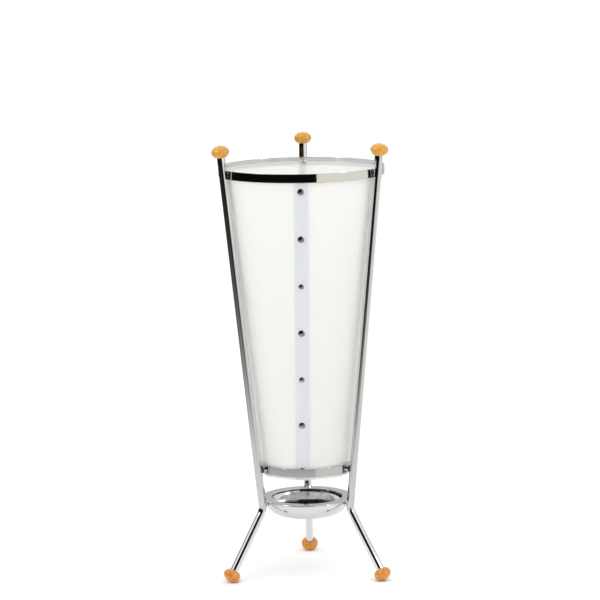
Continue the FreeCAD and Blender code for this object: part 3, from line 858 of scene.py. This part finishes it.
@dataclass
class FrostedCone:
    """The rolled sheet, lapped over itself down the front, and the rivets that close it."""

    thickness: float = 1.0 * MM
    # Growth of the radius per unit of height.
    lean: float = 0.11936
    lap_width: float = 20.5 * MM
    lap_gap: float = 0.15 * MM
    edge_round: float = 0.2 * MM
    seam_top: float = -89.1
    seam_bottom: float = -94.0
    # Beside the lap the sheet steps in over the jog's angle, so that it can lie under its own edge.
    jog_start: float = 1.0
    jog_angle: float = 8.0
    jog_steps: int = 5
    round_steps: int = 200
    lap_steps: int = 8
    rivet_drop: float = 20.5 * MM
    rivet_rise: float = 14.5 * MM
    rivet_count: int = 7
    # Numbered from 0 at the top.
    small_rivets: tuple[int, ...] = (2, 4)
    large_radius: float = 5.0 * MM
    small_radius: float = 4.1 * MM
    head_height: float = 1.6 * MM
    head_rim: float = 0.3 * MM
    seat_gap: float = 0.08 * MM
    rivet_sides: int = 48
    low_z: float = field(init=False)
    high_z: float = field(init=False)
    top_radius: float = field(init=False)

    def __post_init__(self) -> None:
        """Read the sheet's ends off the frame."""
        low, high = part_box("frosted_sheet")
        self.low_z, self.high_z, self.top_radius = low.z, high.z, high.x

    def radius(self, height: float) -> float:
        """Radius of the sheet's outer face at a height."""
        return self.top_radius - self.lean * (self.high_z - height)

    def on_face(self, azimuth: float, height: float) -> Vector:
        """Point of the outer face at an azimuth in degrees and a height."""
        return turned(Vector((self.radius(height), 0.0, height)), azimuth)

    def half_lap(self, height: float) -> float:
        """Half the lap's width as an angle in degrees."""
        return math.degrees(math.asin(self.lap_width / 2 / self.radius(height)))

    def sheet(self) -> Object:
        """Model the sheet: spin its free edge right round, step it in, and run it under the lap.

        Returns:
            The sheet, with its thickness.
        """
        low_edge = self.seam_bottom + self.half_lap(self.low_z)
        high_edge = self.seam_top + self.half_lap(self.high_z)
        first = self.on_face(low_edge, self.low_z)
        piece = start_edge("frosted_cone", first)
        extrude_by(self.on_face(high_edge, self.high_z) - first)
        bpy.ops.mesh.select_all(action="SELECT")
        spin_clockwise(360.0 - self.jog_start - self.jog_angle, self.round_steps)
        step_in = (self.thickness + self.lap_gap) / self.jog_steps
        middle_of_jog = high_edge + self.jog_start + self.jog_angle / 2
        inward = turned(Vector((-step_in, 0.0, 0.0)), middle_of_jog)
        for _ in range(self.jog_steps):
            spin_clockwise(self.jog_angle / self.jog_steps, 1)
            bpy.ops.transform.translate(value=inward)
        wide = (self.jog_start + 2 * self.half_lap(self.low_z)) / self.lap_steps
        narrow = (self.jog_start + 2 * self.half_lap(self.high_z)) / self.lap_steps
        for k in range(self.lap_steps):
            spin_clockwise(narrow, 1)
            self.spread_low_end(low_edge + self.jog_start - k * wide - narrow, wide - narrow)
        tidy_shell()
        self.face_outwards(piece)
        apply_modifier(piece, "SOLIDIFY", thickness=self.thickness, offset=-1.0,
                       use_even_offset=True)
        soften_edges(piece, self.edge_round, segments=2)
        smooth(piece)
        return piece

    def spread_low_end(self, azimuth: float, angle: float) -> None:
        """Move the lower end of the selected edge on, so that the lap keeps its width lower down.

        Args:
            azimuth: Where that end is, in degrees.
            angle: How far it goes on, clockwise, in degrees.
        """
        piece = bpy.context.view_layer.objects.active
        mesh = bmesh.from_edit_mesh(piece.data)
        ends = [vertex for vertex in mesh.verts if vertex.select]
        low_end = min(ends, key=lambda vertex: vertex.co.z)
        inner = self.radius(self.low_z) - self.thickness - self.lap_gap
        here = turned(Vector((inner, 0.0, 0.0)), azimuth)
        low_end.co += turned(here, -angle) - here
        bmesh.update_edit_mesh(piece.data)

    def face_outwards(self, piece: Object) -> None:
        """Flip the sheet's faces if they point at the stand's axis.

        Args:
            piece: The sheet, before it has its thickness.
        """
        outward = sum(face.normal.dot(Vector((face.center.x, face.center.y, 0.0)))
                      for face in piece.data.polygons)
        if outward < 0:
            pick(piece)
            bpy.ops.object.mode_set(mode="EDIT")
            bpy.ops.mesh.select_all(action="SELECT")
            bpy.ops.mesh.flip_normals()
            bpy.ops.object.mode_set(mode="OBJECT")

    def seam_point(self, height: float) -> Vector:
        """Middle of the lap on the outer face.

        Args:
            height: Height of the point.

        Returns:
            The point.
        """
        low = self.on_face(self.seam_bottom, self.low_z)
        high = self.on_face(self.seam_top, self.high_z)
        return low.lerp(high, (height - self.low_z) / (self.high_z - self.low_z))

    def rivet(self, number: int, chrome: Material) -> None:
        """Model one domed rivet head, with a thin rim, and seat it on the seam.

        Args:
            number: Its number from the top, from 0.
            chrome: Its finish.
        """
        radius = self.small_radius if number in self.small_rivets else self.large_radius
        crown = self.head_height - self.head_rim
        ball = (radius ** 2 + crown ** 2) / (2 * crown)
        half = math.degrees(math.asin(radius / ball))
        dome = arc_points((0.0, self.head_height - ball), ball, 90.0 - half, 90.0, steps=12)
        rim = [(0.0, 0.0), (radius - self.head_rim / 2, 0.0), (radius, self.head_rim / 2)]
        piece = lathe(f"seam_rivet_{number + 1}", rim + dome, self.rivet_sides)
        top = self.high_z - self.rivet_drop
        pitch = (top - self.low_z - self.rivet_rise) / (self.rivet_count - 1)
        seat = self.seam_point(top - number * pitch)
        outward = (Vector((seat.x, seat.y, 0.0)).normalized() - UP * self.lean).normalized()
        place(piece, seat + outward * self.seat_gap, outward)
        smooth(piece, sharp_degrees=50.0)
        stands_for = {0: ["large_seam_rivets"], self.small_rivets[0]: ["small_seam_rivets"]}
        settle(piece, STAND, chrome, stands_for.get(number, []))

    def build(self, chrome: Material, zinc: Material) -> None:
        """Make the sheet and its rivets, and dress the washers inside.

        Args:
            chrome: Finish of the rivets.
            zinc: Finish of the washers.
        """
        frosted = FrostedPolypropylene("Frosted polypropylene sheet",
                                       self.seam_point(self.low_z),
                                       self.seam_point(self.high_z), self.lap_width)
        settle(self.sheet(), STAND, frosted.material(), ["frosted_sheet"])
        for number in range(self.rivet_count):
            self.rivet(number, chrome)
        keep_node("rivet_washers", zinc)


# ---------------------------------------------------------------- dish

@dataclass
class DripDish:
    """The pressed dish that lifts out: a round-walled bowl and a rim with an inward lip."""

    thickness: float = 1.0 * MM
    edge_round: float = 1.5 * MM
    hem_radius: float = 1.5 * MM
    hem_return: float = 1.0 * MM
    lip_width: float = 16.0 * MM
    lip_collar: float = 3.5 * MM
    wall_top_drop: float = 0.6 * MM
    sides: int = 160
    wall_steps: int = 32
    rim_z: float = field(init=False)
    rim_radius: float = field(init=False)
    floor_z: float = field(init=False)

    def __post_init__(self) -> None:
        """Read the dish's rim and floor off the frame."""
        _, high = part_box("dish_lip")
        self.rim_z, self.rim_radius = high.z, high.x
        self.floor_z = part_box("dish_bowl")[0].z

    def bowl_outline(self) -> list[tuple[float, float]]:
        """Section of the bowl.

        Returns:
            Points along the under side from the middle outwards, then back along the inside.
        """
        wall = self.rim_z - self.floor_z - self.wall_top_drop
        reach = self.rim_radius - self.hem_radius - self.hem_return - self.edge_round
        middle = (reach - wall, self.floor_z + wall)
        flange_low = self.rim_z - self.hem_radius - self.thickness / 2
        flange_end = self.rim_radius - self.hem_radius
        outer_top = math.degrees(math.asin((flange_low - self.edge_round - middle[1]) / wall))
        inner = wall - self.thickness
        inner_top = math.degrees(math.asin((flange_low + self.thickness - middle[1]) / inner))
        outer = arc_points(middle, wall, -90.0, outer_top, self.wall_steps)
        edge_middle = (outer[-1][0] + self.edge_round, flange_low - self.edge_round)
        edge = arc_points(edge_middle, self.edge_round, 180.0, 90.0, steps=6)
        flange = [(flange_end, flange_low), (flange_end, flange_low + self.thickness)]
        back = arc_points(middle, inner, inner_top, -90.0, self.wall_steps)
        ends = [(0.0, self.floor_z), (0.0, self.floor_z + self.thickness)]
        return ends[:1] + outer + edge + flange + back + ends[1:]

    def lip_outline(self) -> list[tuple[float, float]]:
        """Section of the rim.

        Returns:
            Points round the mouth, down and up the collar, and over the hem, back to the first.
        """
        hem_centre = self.rim_radius - self.hem_radius
        hem_z = self.rim_z - self.hem_radius
        half = self.thickness / 2
        mouth = self.rim_radius - self.lip_width
        mouth_middle = (mouth + self.edge_round, self.rim_z - self.edge_round)
        round_in = arc_points(mouth_middle, self.edge_round, 90.0, 180.0, steps=8)
        collar_z = self.rim_z - self.lip_collar
        back_of_collar = mouth + self.thickness
        collar = [(mouth, collar_z), (back_of_collar, collar_z), (back_of_collar, hem_z + half)]
        hollow = arc_points((hem_centre, hem_z), half, 90.0, -90.0, steps=8)
        tail_end = hem_centre - self.hem_return
        tail = [(tail_end, hem_z - half), (tail_end, hem_z - self.hem_radius)]
        hem = arc_points((hem_centre, hem_z), self.hem_radius, -90.0, 90.0, steps=16)
        return round_in + collar + hollow + tail + hem + round_in[:1]

    def build(self, chrome: Material, bright: Material) -> None:
        """Make the dish, and dress the pins that carry it.

        Args:
            chrome: Finish of the dish.
            bright: Finish of the pins.
        """
        for name, outline, node in (("drip_bowl", self.bowl_outline(), "dish_bowl"),
                                    ("drip_rim", self.lip_outline(), "dish_lip")):
            piece = lathe(name, outline, self.sides)
            smooth(piece, sharp_degrees=40.0)
            settle(piece, DISH, chrome, [node])
        keep_node("dish_support_pins", bright)


# ---------------------------------------------------------------- studio

@dataclass(frozen=True)
class SquareLight:
    """A softbox or a lamp that points at the stand. Only a lamp has a power, in watts."""

    name: str
    centre: tuple[float, float, float]
    side: float
    power: float = 0.0


@dataclass
class Studio:
    """A white floor in soft light, cards and softboxes that only mirrors see, and the camera."""

    camera_distance: float = 4.0308
    camera_azimuth: float = 1.403
    camera_height: float = 1.044
    camera_pitch: float = 8.811
    camera_yaw: float = 0.075
    camera_roll: float = -1.019
    lens_mm: float = 162.3
    sensor_mm: float = 36.0
    floor_size: float = 80.0
    floor_colour: str = "#FEFEFD"
    floor_roughness: float = 0.9
    world_strength: float = 1.05
    card_inner: float = 0.3
    card_reach: float = 3.5
    card_lift: float = 0.002
    card_steps: int = 48
    seam_bearing: float = -68.0
    dark_height: float = 1.35
    dark_angle: float = 182.0
    dark_tint: str = "#FBFAF9"
    dark_near_glow: float = 0.95
    dark_half_way: float = 0.95
    dark_steepness: float = 4.0
    front_angle: float = 60.0
    front_height: float = 4.2
    cream_angle: float = 90.0
    cream_height: float = 1.6
    cream_colour: str = "#FFFAEC"
    cream_glow: float = 1.08
    near_cream_colour: str = "#FFFCF5"
    near_cream_glow: float = 0.85
    back_angle: float = 95.0
    back_low: float = 0.08
    back_high: float = 1.7
    back_colour: str = "#CCCCD0"
    back_glow: float = 1.0
    softbox_glow: float = 18.0
    softboxes: tuple[SquareLight, ...] = (
        SquareLight("left_softbox", (-1.83, -1.06, 1.63), 0.5),
        SquareLight("right_softbox", (1.83, -1.06, 1.05), 0.4))
    lamps: tuple[SquareLight, ...] = (
        SquareLight("key_light", (-1.5, -1.9, 2.3), 1.9, 14.0),
        SquareLight("top_light", (0.9, -0.4, 2.7), 1.4, 10.0))
    aim_height: float = 0.4

    def camera(self) -> None:
        """Set the camera at its standpoint, with its slight roll."""
        bearing = math.radians(self.camera_azimuth)
        facing = math.radians(self.camera_azimuth + self.camera_yaw)
        pitch = math.radians(self.camera_pitch)
        stand = Vector((self.camera_distance * math.sin(bearing),
                        -self.camera_distance * math.cos(bearing), self.camera_height))
        forward = Vector((-math.sin(facing) * math.cos(pitch),
                          math.cos(facing) * math.cos(pitch), -math.sin(pitch)))
        right = Vector((math.cos(facing), math.sin(facing), 0.0))
        above = right.cross(forward)
        basis = Matrix((right, above, -forward)).transposed()
        basis = basis @ Matrix.Rotation(math.radians(self.camera_roll), 3, "Z")
        lens = bpy.data.cameras.new("camera")
        lens.lens = self.lens_mm
        lens.sensor_width = self.sensor_mm
        holder = bpy.data.objects.new("camera", lens)
        bpy.context.scene.collection.objects.link(holder)
        holder.matrix_world = Matrix.Translation(stand) @ basis.to_4x4()
        bpy.context.scene.camera = holder

    def floor(self) -> None:
        """Lay the pale floor."""
        deselect_all()
        bpy.ops.mesh.primitive_plane_add(size=self.floor_size, location=(0, 0, 0))
        ground = newest("floor")
        material, tree = new_material("Pale studio floor")
        shader = add_node(tree, "BsdfPrincipled", {
            "Base Color": linear(self.floor_colour), "Roughness": self.floor_roughness,
            "Specular IOR Level": 0.0})
        add_node(tree, "OutputMaterial", {"Surface": shader.outputs["BSDF"]})
        ground.data.materials.append(material)

    def curved_card(self, name: str, bearing: float, angle: float,
                    outline: Sequence[tuple[float, float]], material: Material) -> None:
        """Stand a curved card round the stand. Only mirrors see it: it casts no light or shadow.

        Args:
            name: Name of the card.
            bearing: Where it starts, in degrees from the X axis.
            angle: How far it runs clockwise from there, in degrees.
            outline: Radius and height of each corner of its section.
            material: What it shows.
        """
        corners = [turned(Vector((radius, 0.0, height)), bearing) for radius, height in outline]
        board = start_edge(name, corners[0])
        for here, there in pairwise(corners):
            extrude_by(there - here)
        bpy.ops.mesh.select_all(action="SELECT")
        spin_clockwise(angle, self.card_steps)
        bpy.ops.object.mode_set(mode="OBJECT")
        self.show_to_mirrors(board, material)

    def aim_from(self, light: SquareLight) -> Quaternion:
        """Turn that points a light at the middle of the stand."""
        aim = Vector((0.0, 0.0, self.aim_height)) - Vector(light.centre)
        return aim.to_track_quat("-Z", "Y")

    def softbox(self, light: SquareLight, material: Material) -> None:
        """Hang a small bright square that only mirrors see: the highlight on a knob or a rivet.

        Args:
            light: Its name, place and size.
            material: What it shows.
        """
        deselect_all()
        bpy.ops.mesh.primitive_plane_add(size=light.side, location=light.centre)
        board = newest(light.name)
        board.rotation_euler = self.aim_from(light).to_euler()
        self.show_to_mirrors(board, material)

    def show_to_mirrors(self, board: Object, material: Material) -> None:
        """Give a card its material, and hide it from all but mirrors.

        Args:
            board: The card.
            material: What it shows.
        """
        board.data.materials.append(material)
        board.visible_camera = False
        board.visible_diffuse = False
        board.visible_transmission = False
        board.visible_shadow = False

    def dark_material(self) -> Material:
        """Build the dark cards' material: it glows near the stand and fades to black beyond.

        Returns:
            A glow that falls with the distance from the stand's foot.
        """
        material, tree = new_material("Dark cards")
        place_on = add_node(tree, "TexCoord").outputs["Object"]
        # glow = near_glow / (1 + (distance / half_way) ** steepness)
        distance = add_node(tree, "VectorMath", {0: place_on}, operation="LENGTH")
        share = add_node(tree, "Math", {
            0: distance.outputs["Value"], 1: self.dark_half_way}, operation="DIVIDE")
        steep = add_node(tree, "Math", {
            0: share.outputs["Value"], 1: self.dark_steepness}, operation="POWER")
        more = add_node(tree, "Math", {0: steep.outputs["Value"], 1: 1.0}, operation="ADD")
        glow = add_node(tree, "Math", {
            0: self.dark_near_glow, 1: more.outputs["Value"]}, operation="DIVIDE")
        shader = add_node(tree, "Emission", {
            "Color": linear(self.dark_tint), "Strength": glow.outputs["Value"]})
        add_node(tree, "OutputMaterial", {"Surface": shader.outputs["Emission"]})
        return material

    def plain_card_material(self, name: str, colour: str, strength: float) -> Material:
        """Build an evenly glowing card material.

        Args:
            name: Name of the material.
            colour: Its colour, as sRGB hex.
            strength: How brightly it glows.

        Returns:
            The material.
        """
        material, tree = new_material(name)
        shader = add_node(tree, "Emission", {"Color": linear(colour), "Strength": strength})
        add_node(tree, "OutputMaterial", {"Surface": shader.outputs["Emission"]})
        return material

    def surround(self) -> None:
        """Stand the cards: dark left and higher in front, cream right, grey behind."""
        dark = self.dark_material()
        lift = self.card_lift
        reach = self.card_reach
        self.curved_card("dark_surround", self.seam_bearing, self.dark_angle,
                         [(self.card_inner, lift), (reach, lift), (reach, self.dark_height)],
                         dark)
        self.curved_card("dark_front", self.seam_bearing, self.front_angle,
                         [(reach, self.dark_height), (reach, self.front_height)], dark)
        self.curved_card("cream_wall", self.seam_bearing, -self.cream_angle,
                         [(reach, lift), (reach, self.cream_height)],
                         self.plain_card_material("Cream wall", self.cream_colour,
                                                  self.cream_glow))
        self.curved_card("cream_floor", self.seam_bearing, -self.cream_angle,
                         [(self.card_inner, lift), (reach, lift)],
                         self.plain_card_material("Cream floor", self.near_cream_colour,
                                                  self.near_cream_glow))
        # The grey card starts where the dark one ends: cards that crossed would show as stripes.
        self.curved_card("grey_back", self.seam_bearing - self.dark_angle, self.back_angle,
                         [(reach, self.back_low), (reach, self.back_high)],
                         self.plain_card_material("Grey back", self.back_colour, self.back_glow))
        glow = self.plain_card_material("Softbox", "#FFFFFF", self.softbox_glow)
        for light in self.softboxes:
            self.softbox(light, glow)

    def lamp(self, light: SquareLight) -> None:
        """Hang a square lamp.

        Args:
            light: Its name, place, size and power.
        """
        source = bpy.data.lights.new(light.name, "AREA")
        source.size = light.side
        source.energy = light.power
        holder = bpy.data.objects.new(light.name, source)
        # The softboxes make the highlights, so chrome doesn't mirror the lamps as well.
        holder.visible_glossy = False
        bpy.context.scene.collection.objects.link(holder)
        turn = self.aim_from(light).to_matrix().to_4x4()
        holder.matrix_world = Matrix.Translation(light.centre) @ turn

    def world(self) -> None:
        """Surround the stand with even white light."""
        surround = bpy.data.worlds.new("white surround")
        surround.use_nodes = True
        background = surround.node_tree.nodes["Background"]
        background.inputs["Color"].default_value = linear("#FFFFFF")
        background.inputs["Strength"].default_value = self.world_strength
        bpy.context.scene.world = surround

    def build(self) -> None:
        """Set up everything round the stand."""
        self.world()
        self.floor()
        self.surround()
        for light in self.lamps:
            self.lamp(light)
        self.camera()
        bpy.context.scene.view_settings.view_transform = "Standard"


def main() -> None:
    """Build the stand, sub-assembly by sub-assembly, and then the studio."""
    tube_chrome = ChromePlate("Chrome plate on steel tube", colour="#DADADB", roughness=0.03,
                              haze=0.03, fine_depth_mm=0.0003).material()
    band_chrome = ChromePlate("Chrome plate on steel strip", colour="#CFCFD1").material()
    dish_chrome = ChromePlate("Chrome plate on pressed sheet", colour="#D2D2D6", roughness=0.1,
                              ripple_mm=30.0, ripple_depth_mm=0.03).material()
    bright = ChromePlate("Chrome plate on small fittings", colour="#D2D0CE",
                         roughness=0.06).material()
    rivet_chrome = ChromePlate("Dull chrome on the rivets", colour="#A3A09F",
                               roughness=0.2).material()
    zinc = ZincSteel().material()
    nylon = NaturalNylon().material()
    Legs().build(tube_chrome, zinc)
    Bands().build(band_chrome, bright, zinc, nylon)
    FrostedCone().build(rivet_chrome, zinc)
    DripDish().build(dish_chrome, bright)
    Studio().build()


if __name__ == "__main__":
    logging.basicConfig(level=logging.INFO)
    main()
